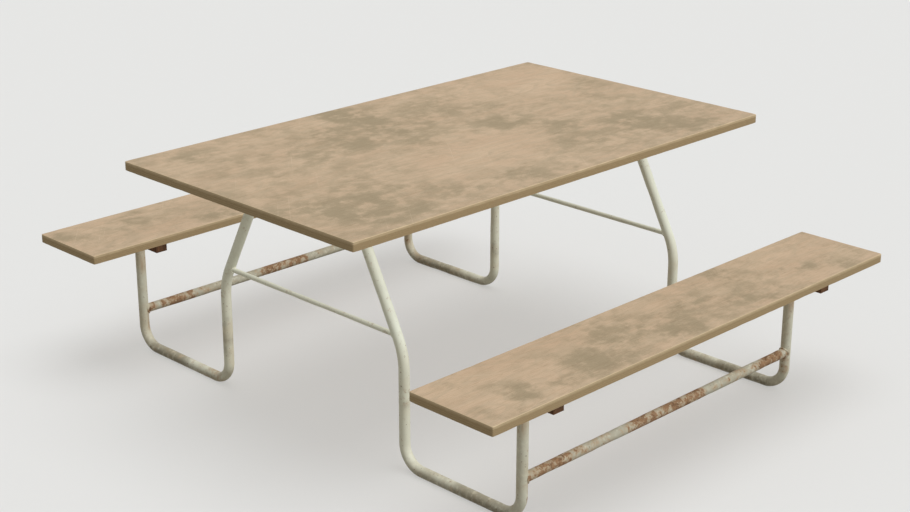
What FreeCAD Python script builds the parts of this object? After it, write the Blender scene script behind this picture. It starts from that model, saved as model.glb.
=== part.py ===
# Mess hall table: a plywood top and two plywood bench seats on one bent-tube steel frame.
# All sizes are in millimetres. The origin is on the floor under the centre of the top.
# +X runs along the table to its right end, +Y from the front bench to the rear bench, +Z up.
import FreeCAD, Part
import math
import os

Vector = FreeCAD.Vector

# Boards
TOP_LENGTH = 1750.0
TOP_WIDTH = 1005.0
TOP_THICKNESS = 28.0
TOP_HEIGHT = 780.0
SEAT_LENGTH = 1750.0
SEAT_WIDTH = 296.0
SEAT_THICKNESS = 28.0
SEAT_HEIGHT = 429.0
BENCH_OFFSET = 853.0
BOARD_CORNER_RADIUS = 4.0
BOARD_EDGE_RADIUS = 1.5

# Bent-tube frame
FRAME_OVERHANG = 271.0
TUBE_DIAMETER = 32.0
TUBE_WALL = 2.0
LEG_TOP_SPREAD = 384.0
LEG_FOOT_SPREAD = 802.0
KNEE_HEIGHT = 356.0
KNEE_BEND_RADIUS = 210.0
FOOT_BEND_RADIUS = 68.0
ROD_DIAMETER = 15.0
ROD_ABOVE_KNEE = 49.0
STRETCHER_DIAMETER = 30.0
STRETCHER_WALL = 2.0
STRETCHER_HEIGHT = 135.0
WELD_SIZE = 4.0
COPE_GAP = 0.2

# Folded channels between the tubes and the boards
CHANNEL_WALL = 3.0
CHANNEL_DEPTH = 32.0
CHANNEL_SIDE_CLEARANCE = 1.0
CHANNEL_SEAM = 0.8
SEAT_CHANNEL_SETBACK = 25.0
TOP_CHANNEL_TAIL = 155.0

# Bolts through the channels and tubes
BOLT_DIAMETER = 8.0
BOLT_HOLE_CLEARANCE = 0.25
BOLT_THREAD_CLEARANCE = 0.1
BOLT_TAIL = 3.0
HEX_ACROSS_FLATS = 13.0
BOLT_HEAD_HEIGHT = 5.3
NUT_HEIGHT = 8.0
WASHER_DIAMETER = 16.0
WASHER_THICKNESS = 1.6

# Pan-head screws up through the channels into the boards
SCREW_DIAMETER = 5.0
SCREW_CLEARANCE = 0.1
SCREW_HEAD_DIAMETER = 10.0
SCREW_HEAD_HEIGHT = 3.0
SCREW_HEAD_ROUNDING = 1.2
SCREW_SLOT_WIDTH = 1.4
SCREW_SLOT_LENGTH = 5.4
SCREW_SLOT_DEPTH = 1.6
SCREW_POINT_LENGTH = 5.0
SCREW_COVER = 6.0
SCREW_END_SETBACK = 20.0
SCREW_TUBE_GAP = 24.0

# Places that follow from the sizes above
FRAME_X = TOP_LENGTH / 2 - FRAME_OVERHANG
TUBE_RADIUS = TUBE_DIAMETER / 2
ROD_RADIUS = ROD_DIAMETER / 2
STRETCHER_RADIUS = STRETCHER_DIAMETER / 2
BOLT_RADIUS = BOLT_DIAMETER / 2
BOLT_HOLE_RADIUS = BOLT_RADIUS + BOLT_HOLE_CLEARANCE
SCREW_RADIUS = SCREW_DIAMETER / 2
SCREW_HOLE_RADIUS = SCREW_RADIUS + SCREW_CLEARANCE
TOP_UNDERSIDE = TOP_HEIGHT - TOP_THICKNESS
SEAT_UNDERSIDE = SEAT_HEIGHT - SEAT_THICKNESS
LEG_TOP_Y = LEG_TOP_SPREAD / 2
LEG_FOOT_Y = LEG_FOOT_SPREAD / 2
LEG_SLOPE = (LEG_FOOT_Y - LEG_TOP_Y) / (TOP_UNDERSIDE - KNEE_HEIGHT)
LEG_TOP_HALF_DEPTH = TUBE_RADIUS * math.hypot(1.0, LEG_SLOPE)
ROD_HEIGHT = KNEE_HEIGHT + ROD_ABOVE_KNEE
CHANNEL_INSIDE_WIDTH = TUBE_DIAMETER + 2 * CHANNEL_SIDE_CLEARANCE
CHANNEL_WIDTH = CHANNEL_INSIDE_WIDTH + 2 * CHANNEL_WALL
SEAT_CHANNEL_LENGTH = SEAT_WIDTH - 2 * SEAT_CHANNEL_SETBACK
TOP_CHANNEL_LENGTH = LEG_TOP_SPREAD + 2 * TOP_CHANNEL_TAIL
BOLT_DROP = (CHANNEL_WALL + CHANNEL_DEPTH) / 2

X_SIDES = {"left": -1, "right": 1}
Y_SIDES = {"front": -1, "rear": 1}


def leg_slant_y(height):
    """Distance of the slanted leg's centre line from the table's centre line at a height."""
    return LEG_TOP_Y + (TOP_UNDERSIDE - height) * LEG_SLOPE


def bar_between(start, end, radius):
    """Round bar from one point to another."""
    return Part.makeCylinder(radius, (end - start).Length, start, end - start)


def bent_bar(corners, bend_radii, radius):
    """Round bar along straight runs, with an arc of its own radius at each inner corner."""
    edges = []
    run_start = corners[0]
    for index, bend_radius in enumerate(bend_radii, start=1):
        corner = corners[index]
        way_in = (corner - corners[index - 1]).normalize()
        way_out = (corners[index + 1] - corner).normalize()
        tangent = bend_radius * math.tan(way_in.getAngle(way_out) / 2)
        bend_start = corner - way_in * tangent
        bend_end = corner + way_out * tangent
        inward = (way_out - way_in).normalize()
        bend_middle = corner + inward * (math.hypot(bend_radius, tangent) - bend_radius)
        edges.append(Part.LineSegment(run_start, bend_start).toShape())
        edges.append(Part.Arc(bend_start, bend_middle, bend_end).toShape())
        run_start = bend_end
    edges.append(Part.LineSegment(run_start, corners[-1]).toShape())
    section = Part.Wire(Part.Circle(corners[0], corners[1] - corners[0], radius).toShape())
    return Part.Wire(edges).makePipeShell([section], True, False)


def leg_bar(x_side, y_side, radius):
    """Solid bar along one leg: slanted length, knee, upright, floor run and seat post.
    Both ends run on past the channels by a tube diameter."""
    x = x_side * FRAME_X
    floor_run = TUBE_RADIUS
    top_end = TOP_UNDERSIDE + TUBE_DIAMETER
    route = [
        (leg_slant_y(top_end), top_end),
        (LEG_FOOT_Y, KNEE_HEIGHT),
        (LEG_FOOT_Y, floor_run),
        (BENCH_OFFSET, floor_run),
        (BENCH_OFFSET, SEAT_UNDERSIDE + TUBE_DIAMETER),
    ]
    corners = [Vector(x, y_side * y, z) for y, z in route]
    return bent_bar(corners, [KNEE_BEND_RADIUS, FOOT_BEND_RADIUS, FOOT_BEND_RADIUS], radius)


def trim_above(tube, centre_x, centre_y, height):
    """Cut off what stands above a height, within two tube diameters of an upright line."""
    reach = 2 * TUBE_DIAMETER
    corner = Vector(centre_x - reach, centre_y - reach, height)
    return tube.cut(Part.makeBox(2 * reach, 2 * reach, 2 * reach, corner))


def cross_hole(x_side, y, z, radius):
    """Cutter along X through one end frame, long enough for a channel and a tube."""
    half = CHANNEL_WIDTH
    start = Vector(x_side * FRAME_X - half, y, z)
    return Part.makeCylinder(radius, 2 * half, start, Vector(1, 0, 0))


def bolt_places(y_side):
    """Y and Z of the bolt at the top of a leg and of the bolt at the top of its seat post."""
    top_z = TOP_UNDERSIDE - BOLT_DROP
    seat_z = SEAT_UNDERSIDE - BOLT_DROP
    return (y_side * leg_slant_y(top_z), top_z), (y_side * BENCH_OFFSET, seat_z)


def leg_tube(x_side, y_side):
    """One leg: a single bent tube whose ends butt against the webs of two channels."""
    tube = leg_bar(x_side, y_side, TUBE_RADIUS).cut(leg_bar(x_side, y_side, TUBE_RADIUS - TUBE_WALL))
    tube = trim_above(tube, x_side * FRAME_X, y_side * LEG_TOP_Y, TOP_UNDERSIDE - CHANNEL_WALL)
    tube = trim_above(tube, x_side * FRAME_X, y_side * BENCH_OFFSET, SEAT_UNDERSIDE - CHANNEL_WALL)
    for y, z in bolt_places(y_side):
        tube = tube.cut(cross_hole(x_side, y, z, BOLT_HOLE_RADIUS))
    return tube


def cross_rod(x_side):
    """Solid rod across one end frame, its ends coped to the slanted lengths of both legs."""
    reach = leg_slant_y(ROD_HEIGHT)
    x = x_side * FRAME_X
    rod = bar_between(Vector(x, -reach, ROD_HEIGHT), Vector(x, reach, ROD_HEIGHT), ROD_RADIUS)
    for y_side in Y_SIDES.values():
        rod = rod.cut(leg_bar(x_side, y_side, TUBE_RADIUS + COPE_GAP))
    return rod


def stretcher(y_side):
    """Tube under one bench from the left seat post to the right one, coped to both."""
    start = Vector(-FRAME_X, y_side * BENCH_OFFSET, STRETCHER_HEIGHT)
    end = Vector(FRAME_X, y_side * BENCH_OFFSET, STRETCHER_HEIGHT)
    tube = bar_between(start, end, STRETCHER_RADIUS)
    tube = tube.cut(bar_between(start, end, STRETCHER_RADIUS - STRETCHER_WALL))
    for x_side in X_SIDES.values():
        tube = tube.cut(leg_bar(x_side, y_side, TUBE_RADIUS + COPE_GAP))
    return tube


def weld_bead(x_side, y_side, joint, inward, bar_radius):
    """Bead around a bar that meets a leg: what lies within a weld's size of both surfaces.
    The joint is on the leg's centre line, and the bead starts at its toe on the leg's side."""
    toe = math.sqrt(max(TUBE_RADIUS ** 2 - bar_radius ** 2, WELD_SIZE ** 2)) - WELD_SIZE
    start = joint + inward * toe
    end = joint + inward * TUBE_DIAMETER * 2
    near_bar = bar_between(start, end, bar_radius + WELD_SIZE)
    near_leg = leg_bar(x_side, y_side, TUBE_RADIUS + WELD_SIZE)
    bead = near_bar.common(near_leg)
    bead = bead.cut(leg_bar(x_side, y_side, TUBE_RADIUS))
    return bead.cut(bar_between(start, end, bar_radius))


def rod_weld(x_side, y_side):
    """Bead at one end of a cross rod."""
    joint = Vector(x_side * FRAME_X, y_side * leg_slant_y(ROD_HEIGHT), ROD_HEIGHT)
    return weld_bead(x_side, y_side, joint, Vector(0, -y_side, 0), ROD_RADIUS)


def stretcher_weld(x_side, y_side):
    """Bead at one end of a stretcher."""
    joint = Vector(x_side * FRAME_X, y_side * BENCH_OFFSET, STRETCHER_HEIGHT)
    return weld_bead(x_side, y_side, joint, Vector(-x_side, 0, 0), STRETCHER_RADIUS)


def rimmed_block(top_centre, width, length, depth, rim_radius):
    """Block hung below the centre of its upper face, with that face's four edges rounded."""
    block = Part.makeBox(width, length, depth, top_centre - Vector(width / 2, length / 2, depth))
    rim = [e for e in block.Edges if e.BoundBox.ZMin > top_centre.z - depth / 2]
    return block.makeFillet(rim_radius, rim)


def channel(x_side, centre_y, underside, length, bolt_points, screw_ys):
    """Folded channel along Y, open below, with its web flat against a board.
    A tab folded down from the web closes each end, with a narrow seam between it and each flange."""
    inner_bend = CHANNEL_SIDE_CLEARANCE
    outer_bend = inner_bend + CHANNEL_WALL
    web_top = Vector(x_side * FRAME_X, centre_y, underside)
    web_bottom = web_top - Vector(0, 0, CHANNEL_WALL)
    inside_length = length - 2 * CHANNEL_WALL
    body = rimmed_block(web_top, CHANNEL_WIDTH, length, CHANNEL_DEPTH, outer_bend)
    body = body.cut(rimmed_block(web_bottom, CHANNEL_INSIDE_WIDTH, inside_length, CHANNEL_DEPTH, inner_bend))
    seam_x = (CHANNEL_INSIDE_WIDTH - CHANNEL_SEAM) / 2
    seam_height = CHANNEL_DEPTH - outer_bend
    for flange in (-1, 1):
        for end in (-1, 1):
            seam_foot = Vector(flange * seam_x, end * length / 2, -CHANNEL_DEPTH)
            corner = web_top + seam_foot - Vector(CHANNEL_SEAM / 2, 2 * CHANNEL_WALL, 0)
            body = body.cut(Part.makeBox(CHANNEL_SEAM, 4 * CHANNEL_WALL, seam_height, corner))
    for y, z in bolt_points:
        body = body.cut(cross_hole(x_side, y, z, BOLT_HOLE_RADIUS))
    for y in screw_ys:
        foot = Vector(x_side * FRAME_X, y, underside - CHANNEL_DEPTH)
        body = body.cut(Part.makeCylinder(SCREW_HOLE_RADIUS, 2 * CHANNEL_DEPTH, foot))
    return body


def seat_screw_ys(y_side):
    """Screws beside the seat post and near the ends of a seat channel."""
    beside_post = TUBE_RADIUS + SCREW_TUBE_GAP
    near_end = SEAT_CHANNEL_LENGTH / 2 - SCREW_END_SETBACK
    offsets = [-near_end, -beside_post, beside_post, near_end]
    return [y_side * BENCH_OFFSET + offset for offset in offsets]


def top_screw_ys():
    """Screws on both sides of each leg and near the ends of a top channel."""
    beside_leg = LEG_TOP_HALF_DEPTH + SCREW_TUBE_GAP
    near_end = TOP_CHANNEL_LENGTH / 2 - SCREW_END_SETBACK
    half = [LEG_TOP_Y - beside_leg, LEG_TOP_Y + beside_leg, near_end]
    return [side * y for side in Y_SIDES.values() for y in half]


def top_channel(x_side):
    """Channel under the top, across one end frame."""
    bolt_points = [bolt_places(y_side)[0] for y_side in Y_SIDES.values()]
    return channel(x_side, 0, TOP_UNDERSIDE, TOP_CHANNEL_LENGTH, bolt_points, top_screw_ys())


def seat_channel(x_side, y_side):
    """Channel under one end of a seat, on top of its post."""
    centre_y = y_side * BENCH_OFFSET
    bolt_points = [bolt_places(y_side)[1]]
    screw_ys = seat_screw_ys(y_side)
    return channel(x_side, centre_y, SEAT_UNDERSIDE, SEAT_CHANNEL_LENGTH, bolt_points, screw_ys)


def board(length, width, thickness, centre_y, height, screw_ys):
    """Plywood board with eased corners and edges and blind pilot holes in its underside."""
    underside = height - thickness
    blank = Part.makeBox(length, width, thickness, Vector(-length / 2, centre_y - width / 2, underside))
    uprights = [e for e in blank.Edges if abs(e.tangentAt(e.FirstParameter).z) > 0.5]
    blank = blank.makeFillet(BOARD_CORNER_RADIUS, uprights)
    flats = [f for f in blank.Faces if abs(f.normalAt(0, 0).z) > 0.5]
    blank = blank.makeFillet(BOARD_EDGE_RADIUS, [e for face in flats for e in face.Edges])
    for x_side in X_SIDES.values():
        for y in screw_ys:
            foot = Vector(x_side * FRAME_X, y, underside)
            blank = blank.cut(Part.makeCylinder(SCREW_HOLE_RADIUS, thickness - SCREW_COVER, foot))
    return blank


def pan_screw(x, y, underside, thickness):
    """Screw whose head bears on a channel's web and whose point stops inside the board."""
    bearing = underside - CHANNEL_WALL
    tip = underside + thickness - SCREW_COVER
    head = Part.makeCylinder(SCREW_HEAD_DIAMETER / 2, SCREW_HEAD_HEIGHT, Vector(0, 0, -SCREW_HEAD_HEIGHT))
    lower_rim = [e for e in head.Edges if e.BoundBox.ZMax < -SCREW_HEAD_HEIGHT / 2]
    head = head.makeFillet(SCREW_HEAD_ROUNDING, lower_rim)
    for along, across in [(SCREW_SLOT_LENGTH, SCREW_SLOT_WIDTH), (SCREW_SLOT_WIDTH, SCREW_SLOT_LENGTH)]:
        corner = Vector(-along / 2, -across / 2, -SCREW_HEAD_HEIGHT)
        head = head.cut(Part.makeBox(along, across, SCREW_SLOT_DEPTH, corner))
    shank_length = tip - bearing - SCREW_POINT_LENGTH
    shank = Part.makeCylinder(SCREW_RADIUS, shank_length)
    point = Part.makeCone(SCREW_RADIUS, 0, SCREW_POINT_LENGTH, Vector(0, 0, shank_length))
    screw = head.multiFuse([shank, point]).removeSplitter().Solids[0]
    screw.translate(Vector(x, y, bearing))
    return screw


def hexagon(height, start, direction):
    """Hexagonal prism with its far corners chamfered at thirty degrees."""
    corner_radius = HEX_ACROSS_FLATS / 2 / math.cos(math.pi / 6)
    corners = []
    for index in range(7):
        angle = index * math.pi / 3
        corners.append(Vector(corner_radius * math.cos(angle), corner_radius * math.sin(angle), 0))
    prism = Part.Face(Part.makePolygon(corners)).extrude(Vector(0, 0, height))
    spread = height / math.tan(math.pi / 6)
    chamfer = Part.makeCone(HEX_ACROSS_FLATS / 2 + spread, HEX_ACROSS_FLATS / 2, height)
    body = prism.common(chamfer)
    body.Placement = FreeCAD.Placement(start, FreeCAD.Rotation(Vector(0, 0, 1), direction))
    return body


def channel_bolt(x_side, y, z):
    """Hexagon bolt through a channel and a tube: its head outside, its thread end inside."""
    outward = Vector(x_side, 0, 0)
    bearing = Vector(x_side * (FRAME_X + CHANNEL_WIDTH / 2 + WASHER_THICKNESS), y, z)
    grip = CHANNEL_WIDTH + 2 * WASHER_THICKNESS
    tail = bearing - outward * (grip + NUT_HEIGHT + BOLT_TAIL)
    head = hexagon(BOLT_HEAD_HEIGHT, bearing, outward)
    return head.fuse(bar_between(bearing, tail, BOLT_RADIUS)).removeSplitter().Solids[0]


def channel_nut(x_side, y, z):
    """Nut on the inner flange's washer."""
    inward = Vector(-x_side, 0, 0)
    bearing = Vector(x_side * (FRAME_X - CHANNEL_WIDTH / 2 - WASHER_THICKNESS), y, z)
    nut = hexagon(NUT_HEIGHT, bearing, inward)
    return nut.cut(bar_between(bearing, bearing + inward * NUT_HEIGHT, BOLT_RADIUS + BOLT_THREAD_CLEARANCE))


def channel_washers(x_side, y, z):
    """The two washers of one bolt, one on each flange."""
    pair = []
    for outward in (-1, 1):
        face = Vector(x_side * FRAME_X + outward * CHANNEL_WIDTH / 2, y, z)
        far = face + Vector(outward * WASHER_THICKNESS, 0, 0)
        ring = bar_between(face, far, WASHER_DIAMETER / 2)
        pair.append(ring.cut(bar_between(face, far, BOLT_HOLE_RADIUS)))
    return pair


def save(node, solids):
    """Write one node, a single solid or a group of separate ones."""
    shape = solids[0] if len(solids) == 1 else Part.makeCompound(solids)
    shape.exportStep("parts/" + node + ".step")


os.makedirs("parts", exist_ok=True)

top_ys = top_screw_ys()
save("table_top", [board(TOP_LENGTH, TOP_WIDTH, TOP_THICKNESS, 0, TOP_HEIGHT, top_ys)])
save("table_top_screws", [
    pan_screw(x_side * FRAME_X, y, TOP_UNDERSIDE, TOP_THICKNESS)
    for x_side in X_SIDES.values() for y in top_ys
])

for y_name, y_side in Y_SIDES.items():
    seat_ys = seat_screw_ys(y_side)
    seat_centre = y_side * BENCH_OFFSET
    seat = board(SEAT_LENGTH, SEAT_WIDTH, SEAT_THICKNESS, seat_centre, SEAT_HEIGHT, seat_ys)
    save(y_name + "_seat_board", [seat])
    save(y_name + "_seat_screws", [
        pan_screw(x_side * FRAME_X, y, SEAT_UNDERSIDE, SEAT_THICKNESS)
        for x_side in X_SIDES.values() for y in seat_ys
    ])
    save(y_name + "_stretcher", [stretcher(y_side)])

for x_name, x_side in X_SIDES.items():
    save(x_name + "_cross_rod", [cross_rod(x_side)])
    save(x_name + "_top_channel", [top_channel(x_side)])
    for y_name, y_side in Y_SIDES.items():
        save(y_name + "_" + x_name + "_leg", [leg_tube(x_side, y_side)])
        save(y_name + "_" + x_name + "_seat_channel", [seat_channel(x_side, y_side)])

legs = [(x_side, y_side) for x_side in X_SIDES.values() for y_side in Y_SIDES.values()]
save("cross_rod_welds", [rod_weld(*leg) for leg in legs])
save("stretcher_welds", [stretcher_weld(*leg) for leg in legs])
for index, place in enumerate(["leg_top", "seat_post"]):
    bolts = [(x_side, *bolt_places(y_side)[index]) for x_side, y_side in legs]
    save(place + "_bolts", [channel_bolt(*bolt) for bolt in bolts])
    save(place + "_nuts", [channel_nut(*bolt) for bolt in bolts])
    save(place + "_washers", [washer for bolt in bolts for washer in channel_washers(*bolt)])
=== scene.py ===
import math

import bpy
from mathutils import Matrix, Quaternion, Vector, noise


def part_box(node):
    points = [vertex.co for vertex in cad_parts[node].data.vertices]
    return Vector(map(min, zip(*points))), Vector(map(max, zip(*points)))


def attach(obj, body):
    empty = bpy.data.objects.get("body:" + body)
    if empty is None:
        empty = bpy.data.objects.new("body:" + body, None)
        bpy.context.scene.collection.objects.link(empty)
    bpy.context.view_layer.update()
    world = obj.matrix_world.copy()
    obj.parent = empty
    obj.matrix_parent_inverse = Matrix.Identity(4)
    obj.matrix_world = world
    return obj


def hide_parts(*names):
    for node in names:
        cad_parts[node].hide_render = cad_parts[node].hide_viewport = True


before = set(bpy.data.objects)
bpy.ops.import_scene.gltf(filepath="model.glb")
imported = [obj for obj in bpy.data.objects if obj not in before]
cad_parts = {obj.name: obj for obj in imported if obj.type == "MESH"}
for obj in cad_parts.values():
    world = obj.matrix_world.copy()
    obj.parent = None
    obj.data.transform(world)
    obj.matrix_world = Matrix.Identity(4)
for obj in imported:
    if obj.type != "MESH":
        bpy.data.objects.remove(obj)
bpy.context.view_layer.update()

# Legs
# Each of the four legs is one length of thin steel tube, bent cold at the knee and at both ends of
# its floor run. Its upper end and the top of its seat post are cut level to butt under a channel.
# It is brushed with off-white enamel that has yellowed, chipped and rusted outdoors.
X_SIDES = {"left": -1, "right": 1}
Y_SIDES = {"front": -1, "rear": 1}
LEG_FOOT_Y = 0.401
KNEE_HEIGHT = 0.356
LEG_SLOPE = 0.5278
KNEE_BEND_RADIUS = 0.210
FOOT_BEND_RADIUS = 0.068
CHANNEL_WEB = 0.003
TUBE_SIDES = 48
RUN_STEP = 0.012
BEND_STEP = math.radians(3)
BEND_FLATTENING = 0.035
BEND_BULGE = 0.012
DENT_DEPTH = 0.0008
DENT_SIZE = 0.11
DENT_RARITY = 0.25
DENT_STEEPNESS = 4
SHARP_ANGLE = math.radians(50)
leg_low, leg_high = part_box("rear_right_leg")
seat_channel_low, seat_channel_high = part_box("rear_right_seat_channel")
seat_underside = seat_channel_high.z
tube_radius = (leg_high.x - leg_low.x) / 2
frame_x = (leg_high.x + leg_low.x) / 2
post_y = leg_high.y - tube_radius


def leg_axis_y(height):
    """Distance of a slanted leg's centre line from the table's centre line."""
    return LEG_FOOT_Y - (height - KNEE_HEIGHT) * LEG_SLOPE


def straight_run(start, end):
    """Stations along a straight length: a place, a direction and no bend."""
    way = (end - start).normalized()
    count = max(1, round((end - start).length / RUN_STEP))
    return [(start.lerp(end, index / count), way, 0.0) for index in range(count + 1)]


def bent_route(corners, bend_radii):
    """Stations along straight runs joined by arcs, each with its share of the bend's flattening."""
    stations = []
    run_start = corners[0]
    for before, corner, after, radius in zip(corners, corners[1:], corners[2:], bend_radii):
        way_in = (corner - before).normalized()
        way_out = (after - corner).normalized()
        turn = way_in.angle(way_out)
        inward = (way_out - way_in * way_in.dot(way_out)).normalized()
        bend_start = corner - way_in * radius * math.tan(turn / 2)
        stations += straight_run(run_start, bend_start)
        count = round(turn / BEND_STEP)
        for index in range(1, count):
            angle = turn * index / count
            place = bend_start + (way_in * math.sin(angle) + inward * (1 - math.cos(angle))) * radius
            way = way_in * math.cos(angle) + inward * math.sin(angle)
            stations.append((place, way, math.sin(math.pi * index / count)))
        run_start = corner + way_out * radius * math.tan(turn / 2)
    return stations + straight_run(run_start, corners[-1])


def knocked_in(point):
    """Depth of the shallow dents that years of knocks have left at a point."""
    hit = noise.noise(point / DENT_SIZE) - DENT_RARITY
    return DENT_DEPTH * min(1.0, max(0.0, hit * DENT_STEEPNESS))


def round_bar(stations, side, radius):
    """Rings of points along a bar. Side is the direction that stays square to the whole route."""
    rings = []
    for place, way, bend in stations:
        across = way.cross(side)
        ring = []
        for index in range(TUBE_SIDES):
            angle = 2 * math.pi * index / TUBE_SIDES
            out = side * math.cos(angle) * (1 + BEND_BULGE * bend)
            out += across * math.sin(angle) * (1 - BEND_FLATTENING * bend)
            ring.append(place + out * (radius - knocked_in(place + out * radius)))
        rings.append(ring)
    return rings


def ring_faces(count, sides, closed, first):
    """Faces between neighbouring rings, with end faces unless the rings close on themselves."""
    faces = []
    for ring in range(count if closed else count - 1):
        here = first + ring * sides
        there = first + (ring + 1) % count * sides
        for index in range(sides):
            beside = (index + 1) % sides
            faces.append((here + index, here + beside, there + beside, there + index))
    if not closed:
        last = first + (count - 1) * sides
        faces.append(tuple(range(first + sides - 1, first - 1, -1)))
        faces.append(tuple(range(last, last + sides)))
    return faces


def new_piece(name, bodies, finish, node, closed=False):
    """A smooth piece of the table that stands for a node. Each body in it is a row of rings."""
    points = []
    faces = []
    for rings in bodies:
        faces += ring_faces(len(rings), len(rings[0]), closed, len(points))
        for ring in rings:
            points += ring
    mesh = bpy.data.meshes.new(name)
    mesh.from_pydata(points, [], faces)
    mesh.polygons.foreach_set("use_smooth", [True] * len(faces))
    mesh.set_sharp_from_angle(angle=SHARP_ANGLE)
    mesh.materials.append(finish)
    piece = bpy.data.objects.new(name, mesh)
    bpy.context.scene.collection.objects.link(piece)
    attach(piece, "root")
    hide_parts(node)


SCREEN_WHITE = 255
SCREEN_OFFSET = 0.055
SCREEN_CURVE = 2.4


def paint(red, green, blue):
    """A colour given as it looks on a screen, from 0 to 255, as a shader wants it."""
    colour = []
    for shade in (red, green, blue):
        colour.append(((shade / SCREEN_WHITE + SCREEN_OFFSET) / (1 + SCREEN_OFFSET)) ** SCREEN_CURVE)
    return (*colour, 1.0)


class Layer:
    """One socket among a finish's nodes. Arithmetic on layers adds Math nodes.
    A layer without a socket is where the first node of a finish starts."""

    MIX_MASK = 0
    MIX_BELOW = 6
    MIX_ABOVE = 7
    MIX_COLOUR = 2

    def __init__(self, tree, socket=None):
        self.tree = tree
        self.socket = socket

    def node(self, kind, settings, sockets, output=0):
        """Any node: its settings first, then the values or links of its sockets."""
        made = self.tree.nodes.new(kind)
        for name, value in settings.items():
            setattr(made, name, value)
        for key, value in sockets.items():
            if isinstance(value, Layer):
                self.tree.links.new(value.socket, made.inputs[key])
            else:
                made.inputs[key].default_value = value
        return Layer(self.tree, made.outputs[output])

    def maths(self, operation, first, second):
        """A Math node on two layers, or on a layer and a number."""
        return self.node("ShaderNodeMath", {"operation": operation}, {0: first, 1: second})

    def __add__(self, other):
        return self.maths("ADD", self, other)

    def __sub__(self, other):
        return self.maths("SUBTRACT", self, other)

    def __rsub__(self, other):
        return self.maths("SUBTRACT", other, self)

    def __mul__(self, other):
        return self.maths("MULTIPLY", self, other)

    def __truediv__(self, other):
        return self.maths("DIVIDE", self, other)

    def __or__(self, other):
        return self.maths("MAXIMUM", self, other)

    def __and__(self, other):
        return self.maths("MINIMUM", self, other)

    def __abs__(self):
        return self.maths("ABSOLUTE", self, 0.0)

    __radd__ = __add__
    __rmul__ = __mul__

    def fraction(self):
        """What is left of a number without its whole part."""
        return self.maths("FRACT", self, 0.0)

    def rise(self, low, high, top=1.0):
        """Nothing below the low value, the top value above the high one, and smooth between."""
        limits = {"Value": self, "From Min": low, "From Max": high, "To Max": top}
        return self.node("ShaderNodeMapRange", {"interpolation_type": "SMOOTHSTEP"}, limits)

    def band(self, low, high, soft):
        """One between two values, fading out over a soft length beyond them."""
        return self.rise(low - soft, low) * (1 - self.rise(high, high + soft))

    def part(self, axis):
        """One part of a vector: X, Y or Z."""
        return self.node("ShaderNodeSeparateXYZ", {}, {0: self}, axis)

    def vector(self, operation, other, output="Vector"):
        """A Vector Math node on two vectors."""
        return self.node("ShaderNodeVectorMath", {"operation": operation}, {0: self, 1: other}, output)

    def cloud(self, per_metre, detail=3.0, roughness=0.55):
        """Noise with so many lumps to the metre, given once or for each axis."""
        scales = per_metre if isinstance(per_metre, tuple) else (per_metre,) * 3
        place = self.vector("MULTIPLY", scales)
        values = {"Vector": place, "Scale": 1.0, "Detail": detail, "Roughness": roughness}
        return self.node("ShaderNodeTexNoise", {}, values)

    def over(self, below, above):
        """This layer as a mask that lets the colour above cover the colour below."""
        values = {self.MIX_MASK: self, self.MIX_BELOW: below, self.MIX_ABOVE: above}
        return self.node("ShaderNodeMix", {"data_type": "RGBA"}, values, self.MIX_COLOUR)

    def turned(self, degrees):
        """This layer of places turned about the upright axis."""
        values = {"Vector": self, "Angle": math.radians(degrees)}
        return self.node("ShaderNodeVectorRotate", {"rotation_type": "Z_AXIS"}, values)

    def relief(self, depth):
        """The surface's normal where this layer is a height, from 0 to 1, of so many metres."""
        return self.node("ShaderNodeBump", {}, {"Strength": 1.0, "Distance": depth, "Height": self})


def new_finish(name):
    """A material and the sockets of its shader."""
    material = bpy.data.materials.new(name)
    material.use_nodes = True
    return material, material.node_tree.nodes["Principled BSDF"].inputs


def place_on(material):
    """A layer that gives each point's place on the table, in metres."""
    return Layer(material.node_tree).node("ShaderNodeTexCoord", {}, {}, "Object")


def connect(shader, layers):
    """Links layers to the sockets of a shader by their names."""
    for socket, layer in layers.items():
        layer.tree.links.new(layer.socket, shader[socket])


FRESH_ENAMEL = paint(240, 245, 229)
YELLOWED_ENAMEL = paint(224, 219, 196)
# Grime, and also the colour of the painted bench shadow on the floor runs.
ENAMEL_GRIME_AND_SHADOW = paint(130, 122, 102)
# Dirt and painted shade on the lower side of the tubes at the floor.
UNDERSIDE_DIRT_AND_SHADE = paint(112, 103, 86)
RUST_STAIN = paint(180, 156, 126)
RUST = paint(147, 116, 87)
RUST_BLOOM = paint(168, 135, 102)
DEEP_RUST = paint(112, 86, 63)
SHELTER_HEIGHTS = (KNEE_HEIGHT - 0.02, KNEE_HEIGHT + 0.08)
UNDERSIDE_HEIGHTS = (0.010, 0.027)
SPLASH_HEIGHTS = (0.030, 0.090)
# Where the painted shadow of a bench lies on the floor runs.
BENCH_SHADOW_HEIGHTS = (0.030, 0.060)
BENCH_SHADOW_START_Y = 0.63
BENCH_SHADOW_END_Y = 0.79
BENCH_SHADOW_FADE = 0.06
POST_ZONE = (post_y - 0.09, post_y - 0.03)
CHANNEL_STAIN_DROP = 0.10
CHANNEL_STAIN_FADE = 0.05
JOINT_STAIN_DROP = 0.045
JOINT_STAIN_RISE = 0.015
JOINT_STAIN_FADE = 0.02
JOINT_SIDE_INSET = 0.005
JOINT_SIDE_FADE = 0.006
ENAMEL_RELIEF = 0.0006
ENAMEL_GLOSS = 0.35
LEG_SOILING = 0.26
stretcher_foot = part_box("rear_stretcher")[0].z


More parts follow.
